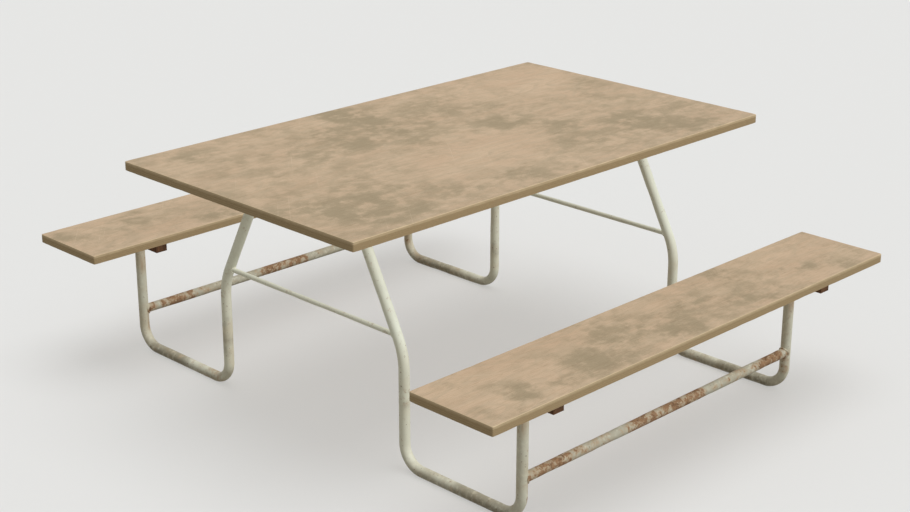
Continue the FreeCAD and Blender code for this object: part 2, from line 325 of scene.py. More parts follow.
def worn_enamel(name, soiling, extra_rust=None):
    """Old enamel on a steel tube, with painted shade on the lower side of the floor runs and the
    benches' shadow painted along them. Soiling is the share of dirt on what is near the seat
    posts. The extra rust is worked out from a point's distance along the table and its place."""
    material, shader = new_finish(name)
    place = place_on(material)
    height = place.part("Z")
    reach_x = abs(place.part("X"))
    reach_y = abs(place.part("Y"))
    mottle = place.cloud(9, detail=4)
    fine = place.cloud(70, detail=4, roughness=0.65)
    speckle = place.cloud(260)

    sheltered = height.rise(*SHELTER_HEIGHTS)
    yellow = (0.40 + 0.60 * mottle.rise(0.42, 0.66)) * (1 - 0.9 * sheltered)
    underneath = 1 - height.rise(*UNDERSIDE_HEIGHTS)
    splash_zone = (1 - height.rise(*SPLASH_HEIGHTS)) * (0.22 + mottle.rise(0.42, 0.64, 0.26))
    # Dirt and painted shade: the lower side of each tube at the floor is darkened, for the shade under
    # it as well as for dirt.
    underside_dirt_and_shade = underneath * (0.22 + fine.rise(0.30, 0.60, 0.30))
    # Painted shadow: the stretch of each floor run under a bench is darkened with the grime colour, in
    # place of the bench's cast shadow.
    bench_shadow = reach_y.band(BENCH_SHADOW_START_Y, BENCH_SHADOW_END_Y, BENCH_SHADOW_FADE) * (1 - height.rise(*BENCH_SHADOW_HEIGHTS))
    on_post = reach_y.rise(*POST_ZONE)
    smudges = place.cloud(16, detail=5).rise(0.52, 0.76, 0.38) * (1 - 0.8 * sheltered)
    # Grime, with the painted bench shadow mixed in.
    grime_and_shadow = (splash_zone | bench_shadow * 0.72 | smudges | on_post * soiling) * fine.rise(0.1, 0.55)

    under_channel = height.band(seat_underside - CHANNEL_STAIN_DROP, seat_underside, CHANNEL_STAIN_FADE)
    under_channel = under_channel * on_post
    joint_low = stretcher_foot - JOINT_STAIN_DROP
    joint_high = stretcher_foot + JOINT_STAIN_RISE
    joint_side = reach_x.band(frame_x - tube_radius, frame_x - JOINT_SIDE_INSET, JOINT_SIDE_FADE)
    under_joint = height.band(joint_low, joint_high, JOINT_STAIN_FADE) * joint_side * on_post
    streaks = place.cloud((55, 55, 5)).rise(0.35, 0.7)
    stain = (under_channel * 0.85 | under_joint * 0.9) * streaks

    patches = place.cloud(7, detail=2)
    pitting = place.cloud(38, detail=6, roughness=0.72) + (speckle - 0.5) * 0.12
    rusting = patches.rise(0.52, 0.76, 0.12) * (1 - 0.9 * sheltered)
    rusting = rusting + (underneath | splash_zone) * 0.06 + under_channel * 0.05 + under_joint * 0.16
    if extra_rust:
        rusting = rusting + extra_rust(reach_x, place)
    chips = place.cloud(140, detail=2).rise(0.70, 0.715) * (1 - 0.6 * sheltered)
    bare = (pitting + rusting).rise(0.74, 0.78) | chips
    halo = (pitting + rusting).rise(0.56, 0.78, 0.85)
    deep = (fine + speckle * 0.3 + rusting * 0.4).rise(0.76, 0.94) | chips * 0.6
    bloom = place.cloud(110, detail=5, roughness=0.7).rise(0.46, 0.64)

    colour = yellow.over(FRESH_ENAMEL, YELLOWED_ENAMEL)
    colour = grime_and_shadow.over(colour, ENAMEL_GRIME_AND_SHADOW)
    colour = underside_dirt_and_shade.over(colour, UNDERSIDE_DIRT_AND_SHADE)
    colour = (stain | halo).over(colour, RUST_STAIN)
    rust = (bloom * 0.8).over(RUST, RUST_BLOOM)
    rust = deep.over(rust, DEEP_RUST)
    colour = bare.over(colour, rust)
    brushed = place.cloud((120, 120, 14))
    skin = brushed * 0.25 + fine * 0.25 + (1 - bare) * (0.5 - 0.1 * halo) + bare * speckle * 0.3
    connect(shader, {
        "Base Color": colour,
        "Roughness": 0.46 + 0.16 * fine + (grime_and_shadow | underside_dirt_and_shade) * 0.2 + bare * 0.25,
        "Normal": skin.relief(ENAMEL_RELIEF),
    })
    shader["Specular IOR Level"].default_value = ENAMEL_GLOSS
    return material


leg_enamel = worn_enamel("leg_enamel", LEG_SOILING)
for x_name, x_side in X_SIDES.items():
    for y_name, y_side in Y_SIDES.items():
        route = [
            (leg_axis_y(leg_high.z), leg_high.z),
            (LEG_FOOT_Y, KNEE_HEIGHT),
            (LEG_FOOT_Y, tube_radius),
            (post_y, tube_radius),
            (post_y, seat_underside - CHANNEL_WEB),
        ]
        corners = [Vector((x_side * frame_x, y_side * y, z)) for y, z in route]
        stations = bent_route(corners, [KNEE_BEND_RADIUS, FOOT_BEND_RADIUS, FOOT_BEND_RADIUS])
        rings = round_bar(stations, Vector((y_side, 0, 0)), tube_radius)
        slant = stations[0][1]
        rings[0] = [point + slant * (leg_high.z - point.z) / slant.z for point in rings[0]]
        leg = y_name + "_" + x_name + "_leg"
        new_piece("painted_" + leg, [rings], leg_enamel, leg)

# Cross rods
# A thin solid rod ties the two legs of each end frame together just above the knee. Its ends are
# coped to the slanted tubes, welded all round and painted with the frame.
ROD_SOILING = 0.30
SEATING = 0.0003
rod_low, rod_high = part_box("right_cross_rod")
rod_radius = (rod_high.z - rod_low.z) / 2
rod_height = (rod_high.z + rod_low.z) / 2
rod_joint_y = leg_axis_y(rod_height)
leg_lean = math.atan(LEG_SLOPE)


def rod_end(offset_x, offset_z):
    """How far from the table's centre line a cross rod reaches at a point of its section."""
    wall = math.sqrt(tube_radius ** 2 - offset_x ** 2) / math.cos(leg_lean)
    return rod_joint_y - offset_z * LEG_SLOPE - wall


def coped_to_leg(point, y_side):
    """A point of a cross rod's end, moved on to the leg and a hair into its paint."""
    reach = rod_end(abs(point.x) - frame_x, point.z - rod_height) + SEATING
    return Vector((point.x, y_side * reach, point.z))


def coped_bar(start, end, side, radius, coped):
    """Rings of points along a straight bar with a ring more at each end, moved by the coping given."""
    rings = round_bar(straight_run(start, end), side, radius)
    first = [coped(point, -1) for point in rings[0]]
    last = [coped(point, 1) for point in rings[-1]]
    return [first] + rings + [last]


rod_enamel = worn_enamel("rod_enamel", ROD_SOILING)
for x_name, x_side in X_SIDES.items():
    flat_end = rod_low.y + tube_radius
    start = Vector((x_side * frame_x, flat_end, rod_height))
    end = Vector((x_side * frame_x, -flat_end, rod_height))
    rings = coped_bar(start, end, Vector((1, 0, 0)), rod_radius, coped_to_leg)
    rod = x_name + "_cross_rod"
    new_piece("painted_" + rod, [rings], rod_enamel, rod)

# Stretchers
# A tube under each bench joins the left and right seat posts near the floor, where boots scrape it.
# Its ends are coped to the posts and welded, and much of its paint has gone to rust in patches.
STRETCHER_SOILING = 0.58
SCRAPE_FADE = 0.05
SCRAPE_WANDER = 0.16
LIGHT_WEAR = 0.07
WELD_SIDE_WEAR = 0.12
WELD_SIDE_START = 0.035
WELD_SIDE_END = 0.02
WELD_SIDE_FADE = 0.015
SCRAPES = {
    "front": [
        (-0.53, -0.43, 0.29),
        (-0.40, -0.27, 0.15),
        (-0.15, 0.15, 0.27),
        (0.27, 0.38, 0.13),
        (0.46, 0.56, 0.29),
    ],
    "rear": [
        (-0.53, -0.41, 0.28),
        (-0.37, -0.28, 0.13),
        (-0.08, 0.08, 0.26),
        (0.42, 0.53, 0.28),
    ],
}
stretcher_low, stretcher_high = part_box("rear_stretcher")
stretcher_radius = (stretcher_high.z - stretcher_low.z) / 2
stretcher_height = (stretcher_high.z + stretcher_low.z) / 2


def scraped(scrapes):
    """Rust where boots have scraped a stretcher. A scrape runs from one X to another, and each
    has a strength."""
    def mask(reach_x, place):
        along = place.part("X") + (place.cloud(24, detail=4) - 0.5) * SCRAPE_WANDER
        by_weld = reach_x.band(frame_x - WELD_SIDE_START, frame_x - WELD_SIDE_END, WELD_SIDE_FADE)
        worn = LIGHT_WEAR + by_weld * WELD_SIDE_WEAR
        for start, end, strength in scrapes:
            worn = worn | along.band(start, end, SCRAPE_FADE) * strength
        return worn
    return mask


def stretcher_end(offset_y):
    """How far along the table a stretcher reaches at a point of its section."""
    return frame_x - math.sqrt(tube_radius ** 2 - offset_y ** 2)


def coped_to_post(point, x_side):
    """A point of a stretcher's end, moved on to the seat post and a hair into its paint."""
    reach = stretcher_end(abs(point.y) - post_y) + SEATING
    return Vector((x_side * reach, point.y, point.z))


for y_name, y_side in Y_SIDES.items():
    flat_end = frame_x - 2 * tube_radius
    start = Vector((-flat_end, y_side * post_y, stretcher_height))
    end = Vector((flat_end, y_side * post_y, stretcher_height))
    rings = coped_bar(start, end, Vector((0, 1, 0)), stretcher_radius, coped_to_post)
    stretcher = y_name + "_stretcher"
    finish = worn_enamel(stretcher + "_enamel", STRETCHER_SOILING, scraped(SCRAPES[y_name]))
    new_piece("painted_" + stretcher, [rings], finish, stretcher)

# Weld beads
# A hand-laid fillet bead runs right round each joint of a rod or stretcher with a leg. It shows the
# ripples of the weld pool, and paint sits thin on it, so rust starts there.
BEAD_SOILING = 0.40
BEAD_SIDES = 14
BEAD_STEPS = 180
BEAD_STANDOFF = 0.25
RIPPLE_DEPTH = 0.14
RIPPLE_SHARPNESS = 4
UNEVENNESS = 0.12
UNEVEN_LUMPS_PER_METRE = 160
ROD_BEAD = 0.0026
ROD_RIPPLES = 16
STRETCHER_BEAD = 0.0033
STRETCHER_RIPPLES = 30


def weld_bead(seam, size, ripples):
    """A rippled bead on a closed seam: places, each with the two surfaces' outward normals."""
    rings = []
    for step, (place, bar_out, leg_out) in enumerate(seam):
        ahead = seam[(step + 1) % len(seam)][0] - seam[step - 1][0]
        along = ahead.normalized()
        out = bar_out + leg_out
        out = (out - along * out.dot(along)).normalized()
        beside = out.cross(along)
        ripple = math.sin(math.pi * ripples * step / len(seam))
        radius = size * (1 - RIPPLE_DEPTH * ripple ** RIPPLE_SHARPNESS)
        radius *= 1 + UNEVENNESS * noise.noise(place * UNEVEN_LUMPS_PER_METRE)
        centre = place + out * size * BEAD_STANDOFF
        ring = []
        for index in range(BEAD_SIDES):
            angle = 2 * math.pi * index / BEAD_SIDES
            ring.append(centre + (out * math.sin(angle) + beside * math.cos(angle)) * radius)
        rings.append(ring)
    return rings


def rod_seam(x_side, y_side):
    """The seam of a cross rod with a slanted leg."""
    seam = []
    for step in range(BEAD_STEPS):
        angle = 2 * math.pi * step / BEAD_STEPS
        rod_out = Vector((math.cos(angle), 0, math.sin(angle)))
        offset_x = rod_radius * math.cos(angle)
        offset_z = rod_radius * math.sin(angle)
        y = y_side * rod_end(offset_x, offset_z)
        place = Vector((x_side * frame_x + offset_x, y, rod_height + offset_z))
        wall = math.sqrt(tube_radius ** 2 - offset_x ** 2)
        out_y = -y_side * wall * math.cos(leg_lean)
        out_z = -wall * math.sin(leg_lean)
        leg_out = Vector((offset_x, out_y, out_z)) / tube_radius
        seam.append((place, rod_out, leg_out))
    return seam


def stretcher_seam(x_side, y_side):
    """The seam of a stretcher with a seat post."""
    seam = []
    for step in range(BEAD_STEPS):
        angle = 2 * math.pi * step / BEAD_STEPS
        stretcher_out = Vector((0, math.cos(angle), math.sin(angle)))
        offset_y = stretcher_radius * math.cos(angle)
        offset_z = stretcher_radius * math.sin(angle)
        x = x_side * stretcher_end(offset_y)
        place = Vector((x, y_side * post_y + offset_y, stretcher_height + offset_z))
        wall = math.sqrt(tube_radius ** 2 - offset_y ** 2)
        post_out = Vector((-x_side * wall, offset_y, 0)) / tube_radius
        seam.append((place, stretcher_out, post_out))
    return seam


def thin_paint(reach_x, place):
    """Rust that starts all over a bead."""
    return place.cloud(20, detail=2).rise(0.35, 0.7, 0.22)


bead_enamel = worn_enamel("bead_enamel", BEAD_SOILING, thin_paint)
for node, seam_of, size, ripples in (
    ("cross_rod_welds", rod_seam, ROD_BEAD, ROD_RIPPLES),
    ("stretcher_welds", stretcher_seam, STRETCHER_BEAD, STRETCHER_RIPPLES),
):
    beads = []
    for x_side in X_SIDES.values():
        for y_side in Y_SIDES.values():
            beads.append(weld_bead(seam_of(x_side, y_side), size, ripples))
    new_piece("rippled_" + node, beads, bead_enamel, node, closed=True)

# Channels
# Six folded steel channels take the tube ends: one across under the top at each end frame, and one
# under each end of each seat. They were never painted well and are brown with rust all over.
CHANNEL_RUST = paint(104, 74, 50)
CHANNEL_DARK = paint(62, 43, 31)
CHANNEL_BLOOM = paint(143, 97, 58)
RUST_RELIEF = 0.0006
RUST_GLOSS = 0.25


def rusted_steel(name):
    """Steel that is brown with rust, scaly and pitted."""
    material, shader = new_finish(name)
    place = place_on(material)
    broad = place.cloud(14, detail=5, roughness=0.6)
    scale = place.cloud(90, detail=5, roughness=0.7)
    pits = place.cloud(420, detail=2)
    colour = broad.rise(0.38, 0.68).over(CHANNEL_RUST, CHANNEL_DARK)
    colour = scale.rise(0.55, 0.75, 0.7).over(colour, CHANNEL_BLOOM)
    colour = pits.rise(0.60, 0.72, 0.5).over(colour, CHANNEL_DARK)
    connect(shader, {
        "Base Color": colour,
        "Roughness": 0.72 + 0.2 * scale,
        "Normal": (scale * 0.6 + pits * 0.4).relief(RUST_RELIEF),
    })
    shader["Specular IOR Level"].default_value = RUST_GLOSS
    return material


channel_rust = rusted_steel("channel_rust")
channels = [x_name + "_top_channel" for x_name in X_SIDES]
channels += [y_name + "_" + x_name + "_seat_channel" for x_name in X_SIDES for y_name in Y_SIDES]
for channel in channels:
    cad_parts[channel].data.materials.clear()
    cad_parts[channel].data.materials.append(channel_rust)

# Bolts, nuts and washers
# A zinc-plated M8 hexagon bolt goes through each channel and the tube end inside it, with a washer
# under its head, and a washer and a nut on the inner side. The plating is dull and rust is starting.
TURNED_SIDES = 36
TURNED_ANGLES = [2 * math.pi * index / TURNED_SIDES for index in range(TURNED_SIDES)]
ACROSS_FLATS = 0.013
CROWN_RADIUS = 0.0060
CHAMFER_SLOPE = math.tan(math.radians(30))
CORNER_SHARE = 0.985
CORNER_EASING = 0.0002
WASHER_FACE_RADIUS = 0.0061
WASHER_FACE_HEIGHT = 0.0002
SHANK_RADIUS = 0.0040
BORE_RADIUS = 0.0041
BORE_MOUTH_RADIUS = 0.0047
BORE_MOUTH_DEPTH = 0.0006
NUT_HEIGHT = 0.008
BOLT_TAIL = 0.003
THREAD_LENGTH = 0.022
THREAD_PITCH = 0.00125
THREAD_DEPTH = 0.0006
THREAD_STEEPNESS = 1.3
THREAD_ROWS_TO_A_TURN = 6
THREAD_POINT_RADIUS = 0.0031
WASHER_RADIUS = 0.008
WASHER_BORE_RADIUS = 0.00425
WASHER_EASING = 0.0003
TURN_BETWEEN_BOLTS = math.radians(23)
channel_half_width = (seat_channel_high.x - seat_channel_low.x) / 2


def round_row(radius, along):
    """A circle of points on a turned piece: a radius and a distance along its axis at each angle."""
    return [(radius, along)] * TURNED_SIDES


def hexagon_row(share, along, chamfered_way=0):
    """A hexagon of points. A chamfered one leaves its face, in the way given, towards its corners."""
    row = []
    for angle in TURNED_ANGLES:
        reach = ACROSS_FLATS / 2 / math.cos(angle % (math.pi / 3) - math.pi / 6)
        row.append((reach * share, along + chamfered_way * (reach - CROWN_RADIUS) * CHAMFER_SLOPE))
    return row


def thread_row(along, end):
    """Points round a right-hand thread, which is chamfered at its end."""
    row = []
    for angle in TURNED_ANGLES:
        phase = (along / THREAD_PITCH + angle / (2 * math.pi)) % 1
        crest = min(1.0, THREAD_STEEPNESS * (1 - abs(2 * phase - 1)))
        radius = SHANK_RADIUS - THREAD_DEPTH * (1 - crest)
        row.append((min(radius, THREAD_POINT_RADIUS + along - end), along))
    return row


def bolt_rows(head_top, bearing, end):
    """A bolt from the crown of its head to its end."""
    thread_rows = round(THREAD_LENGTH / THREAD_PITCH * THREAD_ROWS_TO_A_TURN)
    rows = [
        round_row(CROWN_RADIUS, head_top),
        hexagon_row(CORNER_SHARE, head_top, -1),
        hexagon_row(1.0, head_top - CORNER_EASING, -1),
        hexagon_row(1.0, bearing + WASHER_FACE_HEIGHT + CORNER_EASING),
        hexagon_row(CORNER_SHARE, bearing + WASHER_FACE_HEIGHT),
        round_row(WASHER_FACE_RADIUS, bearing + WASHER_FACE_HEIGHT),
        round_row(WASHER_FACE_RADIUS, bearing),
        round_row(SHANK_RADIUS, bearing),
        round_row(SHANK_RADIUS, end + THREAD_LENGTH + THREAD_PITCH),
    ]
    for step in range(thread_rows + 1):
        rows.append(thread_row(end + THREAD_LENGTH * (1 - step / thread_rows), end))
    return rows


def nut_rows(bearing):
    """A nut from the mouth of its bore, over its bearing face and hexagon, to its far mouth."""
    far = bearing - NUT_HEIGHT
    return [
        round_row(BORE_RADIUS, bearing - BORE_MOUTH_DEPTH),
        round_row(BORE_MOUTH_RADIUS, bearing),
        round_row(CROWN_RADIUS, bearing),
        hexagon_row(CORNER_SHARE, bearing, -1),
        hexagon_row(1.0, bearing - CORNER_EASING, -1),
        hexagon_row(1.0, far + CORNER_EASING, 1),
        hexagon_row(CORNER_SHARE, far, 1),
        round_row(CROWN_RADIUS, far),
        round_row(BORE_MOUTH_RADIUS, far),
        round_row(BORE_RADIUS, far + BORE_MOUTH_DEPTH),
    ]


def washer_rows(outer, inner):
    """A stamped washer with eased edges, from its outer face to its inner one."""
    return [
        round_row(WASHER_BORE_RADIUS, outer - WASHER_EASING),
        round_row(WASHER_BORE_RADIUS + WASHER_EASING, outer),
        round_row(WASHER_RADIUS - WASHER_EASING, outer),
        round_row(WASHER_RADIUS, outer - WASHER_EASING),
        round_row(WASHER_RADIUS, inner + WASHER_EASING),
        round_row(WASHER_RADIUS - WASHER_EASING, inner),
        round_row(WASHER_BORE_RADIUS + WASHER_EASING, inner),
        round_row(WASHER_BORE_RADIUS, inner + WASHER_EASING),
    ]


def rows_on_axis(rows, x_side, y, z, turn):
    """Rings of points for a turned piece, on an axis along the table and turned about it."""
    rings = []
    for row in rows:
        ring = []
        for angle, (radius, along) in zip(TURNED_ANGLES, row):
            swing = x_side * angle + turn
            point_y = y + radius * math.sin(swing)
            point_z = z + radius * math.cos(swing)
            ring.append(Vector((x_side * along, point_y, point_z)))
        rings.append(ring)
    return rings


ZINC = paint(138, 138, 131)
ZINC_BLOOM = paint(170, 168, 158)
ZINC_RUST = paint(122, 84, 56)
ZINC_RELIEF = 0.0002


def dull_zinc(name):
    """Zinc plating that has gone dull and white in places, with the first rust."""
    material, shader = new_finish(name)
    place = place_on(material)
    broad = place.cloud(110, detail=4)
    fine = place.cloud(700)
    rust = (place.cloud(60, detail=5, roughness=0.7) + fine * 0.2).rise(0.58, 0.74)
    colour = broad.rise(0.4, 0.7).over(ZINC, ZINC_BLOOM)
    colour = rust.over(colour, ZINC_RUST)
    connect(shader, {
        "Base Color": colour,
        "Metallic": 0.85 - 0.8 * rust,
        "Roughness": 0.44 + 0.2 * broad + 0.3 * rust,
        "Normal": (fine * 0.4 + rust * 0.6).relief(ZINC_RELIEF),
    })
    return material


fastener_zinc = dull_zinc("fastener_zinc")
for joint in ("leg_top", "seat_post"):
    bolt_low, bolt_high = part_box(joint + "_bolts")
    outer_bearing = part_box(joint + "_washers")[1].x
    inner_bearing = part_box(joint + "_nuts")[1].x
    bolt_end = inner_bearing - NUT_HEIGHT - BOLT_TAIL
    bolt_z = (bolt_low.z + bolt_high.z) / 2
    bolt_y = leg_axis_y(bolt_z) if joint == "leg_top" else post_y
    outer_washer = washer_rows(outer_bearing, frame_x + channel_half_width)
    inner_washer = washer_rows(frame_x - channel_half_width, inner_bearing)
    kits = {
        "bolts": [bolt_rows(bolt_high.x, outer_bearing, bolt_end)],
        "nuts": [nut_rows(inner_bearing)],
        "washers": [outer_washer, inner_washer],
    }
    for kind, kit in kits.items():
        bodies = []
        turn = 0.0
        for x_side in X_SIDES.values():
            for y_side in Y_SIDES.values():
                turn += TURN_BETWEEN_BOLTS
                for rows in kit:
                    bodies.append(rows_on_axis(rows, x_side, y_side * bolt_y, bolt_z, turn))
        node = joint + "_" + kind
        bored = kind != "bolts"
        new_piece("zinc_" + node, bodies, fastener_zinc, node, closed=bored)

# Top and seats
# The top and the two bench seats are cut from thick plywood and left bare, with eased edges that
# show the veneers. Weather has bleached them, damp has left grey-olive stains, and hands and knocks
# have worn the edges pale. They are screwed down from below, so their faces are plain.
EDGE_STEP = 0.008
CORNER_RADIUS = 0.004
CORNER_STEPS = 4
ARRIS = 0.0015
ARRIS_MOST = 0.0028
ARRIS_LEAST = 0.0009
ARRIS_STEPS = 4
ARRIS_SWING = 0.0004
ARRIS_LUMPS_PER_METRE = 35
NICKS_PER_METRE = 21
NICK_SHIFT = Vector((3.1, 7.7, 1.9))
NICK_RARITY = 0.32
NICK_DEPTH = 0.006
CORNER_WEAR = 0.0012
CORNER_WEAR_REACH = 0.02
FLAT_INSET = 0.0036
VENEERS = 9
VENEER_RELIEF = 0.00025
GLUE_HALF = 0.00018


def board_rim(half_x, half_y):
    """Points round a board's outline, each with its outward direction, in order against the clock."""
    rim = []
    x_in = half_x - CORNER_RADIUS
    y_in = half_y - CORNER_RADIUS
    corners = [(x_in, -y_in, -90), (x_in, y_in, 0), (-x_in, y_in, 90), (-x_in, -y_in, 180)]
    for (x, y, turn), following in zip(corners, corners[1:] + corners[:1]):
        for step in range(CORNER_STEPS + 1):
            angle = math.radians(turn + 90 * step / CORNER_STEPS)
            out = Vector((math.cos(angle), math.sin(angle), 0))
            rim.append((Vector((x, y, 0)) + out * CORNER_RADIUS, out))
        corner_end = rim[-1][0]
        side_end = Vector((following[0], following[1], 0)) + out * CORNER_RADIUS
        count = round((side_end - corner_end).length / EDGE_STEP)
        for step in range(1, count):
            rim.append((corner_end.lerp(side_end, step / count), out))
    return rim


def bruise(place, corner_distance):
    """Rounding of an arris at a place: even wear, small nicks, and more at the board's corners."""
    wear = ARRIS + ARRIS_SWING * noise.noise(place * ARRIS_LUMPS_PER_METRE)
    nick = max(0.0, noise.noise(place * NICKS_PER_METRE + NICK_SHIFT) - NICK_RARITY)
    corner = max(0.0, 1 - corner_distance / CORNER_WEAR_REACH)
    return min(ARRIS_MOST, max(ARRIS_LEAST, wear + nick * NICK_DEPTH + corner * CORNER_WEAR))


def rim_profile(thickness, upper, lower):
    """Inset and depth of points down a board's edge: upper arris, veneers in relief, lower arris."""
    profile = [(FLAT_INSET, 0.0)]
    for step in range(ARRIS_STEPS + 1):
        angle = math.pi / 2 * step / ARRIS_STEPS
        profile.append((upper * (1 - math.sin(angle)), upper * (1 - math.cos(angle))))
    veneer = thickness / VENEERS
    for line in range(1, VENEERS):
        depth = line * veneer
        above = VENEER_RELIEF * ((line + 1) % 2)
        below = VENEER_RELIEF * (line % 2)
        profile += [(above, depth - GLUE_HALF), (below, depth + GLUE_HALF)]
    for step in range(ARRIS_STEPS + 1):
        angle = math.pi / 2 * step / ARRIS_STEPS
        profile.append((lower * (1 - math.cos(angle)), thickness - lower * (1 - math.sin(angle))))
    return profile + [(FLAT_INSET, thickness)]


def board_rings(low, high):
    """Rings of points from a board's lower face, over its edge, to its upper face."""
    centre = (low + high) / 2
    half = (high - low) / 2
    thickness = high.z - low.z
    columns = []
    for place, out in board_rim(half.x, half.y):
        corner_distance = math.hypot(half.x - abs(place.x), half.y - abs(place.y))
        above = Vector((centre.x + place.x, centre.y + place.y, high.z))
        below = Vector((above.x, above.y, low.z))
        profile = rim_profile(thickness, bruise(above, corner_distance), bruise(below, corner_distance))
        columns.append([above - out * inset - Vector((0, 0, depth)) for inset, depth in profile])
    return [[column[row] for column in columns] for row in reversed(range(len(columns[0])))]


BARE_WOOD = paint(200, 177, 150)
WARM_WOOD = paint(194, 169, 142)
GREY_WOOD = paint(180, 163, 138)
LATE_WOOD = paint(182, 156, 126)
DAMP_STAIN = paint(163, 148, 122)
DARK_STAIN = paint(149, 135, 109)
STAINED_GRAIN = paint(146, 130, 104)
MOULD_SPECK = paint(116, 104, 84)
WOOD_CHECK = paint(120, 100, 76)
SCRATCHED_WOOD = paint(216, 197, 170)
WORN_ARRIS = paint(206, 186, 152)
EDGE_LIGHT = paint(173, 152, 117)
EDGE_DARK = paint(155, 134, 100)
GLUE_LINE = paint(119, 100, 74)
RINGS_ACROSS_DRIFT = 20
STAIN_REACH = 1.75
STAIN_WANDER = (0.16, 0.16, 0.0)
WANDERS_PER_METRE = 9.0
EDGE_WEAR_DEPTHS = (0.002, 0.011)
EDGE_WEAR_RAGGED = 0.006
WOOD_RELIEF = 0.0004
WOOD_GLOSS = 0.25


def weathered_plywood(name, upper_face, thickness, stains):
    """Bare plywood. Stains are clouds of damp: X, Y, half length, half width and strength."""
    material, shader = new_finish(name)
    place = place_on(material)
    facing = abs(place.node("ShaderNodeNewGeometry", {}, {}, "Normal").part("Z"))
    face = facing.rise(0.80, 0.97)
    arris = facing.rise(0.15, 0.55) * (1 - facing.rise(0.90, 0.995))
    height = place.part("Z")
    upper = height.rise(upper_face - thickness * 0.6, upper_face - thickness * 0.4)

    drift = place.cloud((1.1, 3.4, 20))
    ring = (drift * RINGS_ACROSS_DRIFT).fraction()
    late = ring.rise(0.30, 0.90) * (1 - ring.rise(0.92, 1.0))
    fibre = place.cloud((9, 420, 420), detail=4, roughness=0.6)
    pores = place.cloud((30, 1300, 1300), detail=2)
    bleach = place.cloud((3.0, 6.5, 6.5), detail=5, roughness=0.6)
    checks = place.cloud((7, 420, 60), detail=2).rise(0.69, 0.74)
    scratches = place.turned(33).cloud((1.8, 260, 1), detail=2).rise(0.715, 0.74)
    scratches = scratches | place.turned(-52).cloud((2.2, 300, 1), detail=2).rise(0.72, 0.745)
    scratches = scratches * face
    wood = bleach.rise(0.34, 0.68).over(BARE_WOOD, WARM_WOOD)
    wood = (late * 0.45).over(wood, GREY_WOOD)

    swirls = {"Vector": place, "Scale": WANDERS_PER_METRE, "Detail": 5.0}
    swirl = place.node("ShaderNodeTexNoise", {}, swirls, "Color")
    swirl = swirl.vector("SUBTRACT", (0.5, 0.5, 0.5)).vector("MULTIPLY", STAIN_WANDER)
    wandering = place.vector("ADD", swirl)
    damp = place.cloud(8, detail=4).rise(0.36, 0.78, 0.42)
    for x, y, half_length, half_width, strength in stains:
        apart = wandering.vector("SUBTRACT", (x, y, 0.0))
        apart = apart.vector("MULTIPLY", (1 / half_length, 1 / half_width, 0.0))
        distance = apart.vector("LENGTH", (0.0, 0.0, 0.0), "Value")
        damp = damp + (1 - distance.rise(0.0, STAIN_REACH)) * strength
    damp = damp | 0.0
    ragged = place.cloud((17, 21, 20), detail=6, roughness=0.62)
    mould = place.cloud((140, 190, 160), detail=4, roughness=0.7)
    specks = place.cloud((420, 560, 500), detail=2)
    damp = damp * (0.18 + 1.60 * ragged.rise(0.35, 0.66))
    damp = damp / (damp + 0.8) * 1.4 & 1.0
    damp = damp * (0.15 + 0.85 * upper)
    spots = (mould + damp * 0.40).rise(0.60, 0.84)
    wood = (damp * 0.88).over(wood, DAMP_STAIN)
    wood = (damp * spots * 0.45).over(wood, DARK_STAIN)
    wood = (damp * specks.rise(0.60, 0.70) * 0.40).over(wood, MOULD_SPECK)
    late_wood = damp.over(LATE_WOOD, STAINED_GRAIN)
    wood = (fibre.rise(0.45, 0.68) * 0.50).over(wood, late_wood)
    wood = (pores.rise(0.56, 0.68) * 0.40).over(wood, WOOD_CHECK)
    wood = (checks * 0.50).over(wood, WOOD_CHECK)
    wood = (scratches * (0.45 - 0.25 * damp)).over(wood, SCRATCHED_WOOD)

    depth = upper_face - height
    layer = depth * (VENEERS / thickness)
    cross_ply = abs((layer * 0.5).fraction() - 0.5).rise(0.2, 0.3)
    glue_line = abs(layer.fraction() - 0.5).rise(0.44, 0.49)
    end_fibre = place.cloud((160, 160, 1100))
    edge = cross_ply.over(EDGE_LIGHT, EDGE_DARK)
    edge = (end_fibre.rise(0.45, 0.75) * 0.5).over(edge, EDGE_DARK)
    edge = (glue_line * 0.55).over(edge, GLUE_LINE)
    ragged_depth = depth + (place.cloud(45, detail=4) - 0.5) * EDGE_WEAR_RAGGED
    handled = 1 - ragged_depth.rise(*EDGE_WEAR_DEPTHS)
    edge = (handled * 0.85).over(edge, WORN_ARRIS)

    colour = face.over(edge, wood)
    colour = (arris * (0.45 + 0.5 * fibre)).over(colour, WORN_ARRIS)
    grain = fibre * 0.45 + pores * 0.25 + (1 - (checks | scratches)) * 0.3
    connect(shader, {
        "Base Color": colour,
        "Roughness": 0.62 + 0.22 * fibre + 0.08 * damp,
        "Normal": grain.relief(WOOD_RELIEF),
    })
    shader["Specular IOR Level"].default_value = WOOD_GLOSS
    return material


